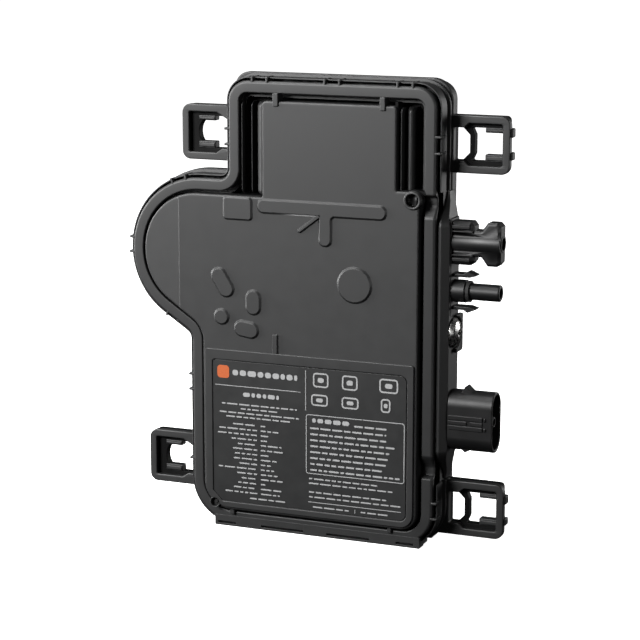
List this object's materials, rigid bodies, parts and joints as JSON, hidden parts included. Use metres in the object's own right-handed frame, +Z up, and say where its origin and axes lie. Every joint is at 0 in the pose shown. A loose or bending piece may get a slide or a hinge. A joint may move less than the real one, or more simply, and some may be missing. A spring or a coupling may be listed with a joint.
{
  "type": "micro inverter",
  "caption": "Sealed two-shell panel inverter case with round lobe, bracket ears, side DC plug and socket, earth screw, oblong AC connector and inner power circuit.",
  "frame": {"origin": "middle of the footprint box, on the plane the skirt stands on", "axes": "+X to the connector side, +Y from the labelled front to the back, +Z up to the top rim"},
  "size_m": [0.1832, 0.0302, 0.2129],
  "materials": {
    "case_black": "moulded black-grey glass-filled plastic, fine satin grain",
    "connector_black": "moulded black polyamide, smooth satin",
    "seal_rubber": "black elastomer, matte",
    "label_black": null,
    "clear_lens": "smoked clear light window",
    "zinc_steel": "bright zinc-plated steel",
    "contact_brass": "tin-plated copper alloy contacts",
    "ferrite": "dark grey sintered ferrite, matte",
    "copper_winding": "enamelled copper wire",
    "board_green": "green solder mask on glass laminate",
    "component_black": "black moulded epoxy or painted plate",
    "capacitor_sleeve": "dark blue shrink sleeve",
    "box_yellow": "yellow capacitor box",
    "nylon_white": "natural nylon or ceramic",
    "aluminium": "plain sheet, satin",
    "disc_blue": "blue epoxy-dipped disc"
  },
  "bodies": {
    "case": {"ac_contact_earth": "contact_brass", "ac_contact_line": "contact_brass", "ac_contact_neutral": "contact_brass", "ac_insert": "connector_black", "ac_seal": "seal_rubber", "ac_shroud": "connector_black", "board_screw_1": "zinc_steel", "board_screw_2": "zinc_steel", "board_screw_3": "zinc_steel", "board_screw_4": "zinc_steel", "bulk_capacitor_1": "capacitor_sleeve", "bulk_capacitor_2": "capacitor_sleeve", "bulk_capacitor_3": "capacitor_sleeve", "choke_base": "nylon_white", "choke_core": "ferrite", "circuit_board": "board_green", "connector_bulkhead": "case_black", "controller_chip": "component_black", "dc_plug_body": "connector_black", "dc_plug_pin": "contact_brass", "dc_plug_seal": "seal_rubber", "dc_socket_body": "connector_black", "dc_socket_contact": "contact_brass", "earth_guard_plate": "component_black", "earth_screw": "zinc_steel", "film_capacitor": "box_yellow", "front_cover": "case_black", "heat_spreader": "aluminium", "line_fuse": "nylon_white", "perimeter_seal": "seal_rubber", "power_transistor_1": "component_black", "power_transistor_2": "component_black", "power_transistor_3": "component_black", "power_transistor_4": "component_black", "rating_label": "label_black", "rear_shell": "case_black", "relay": "component_black", "status_lens": "clear_lens", "surge_varistor": "disc_blue", "transformer_bobbin": "nylon_white", "transformer_core_front": "ferrite", "transformer_core_rear": "ferrite", "transformer_winding": "copper_winding", "vent_plug": "seal_rubber"},
    "latch_upper": {"dc_latch_upper": "connector_black"},
    "latch_lower": {"dc_latch_lower": "connector_black"}
  },
  "joints": [
    {"name": "latch_upper_flex", "type": "hinge", "parent": "case", "child": "latch_upper", "pos_m": [0.0661, 0, 0.1262], "axis": [0, 1, 0], "range_deg": [0, 6], "stiffness_Nm_per_rad": 0.3},
    {"name": "latch_lower_flex", "type": "hinge", "parent": "case", "child": "latch_lower", "pos_m": [0.0661, 0, 0.1114], "axis": [0, -1, 0], "range_deg": [0, 6], "stiffness_Nm_per_rad": 0.3}
  ]
}
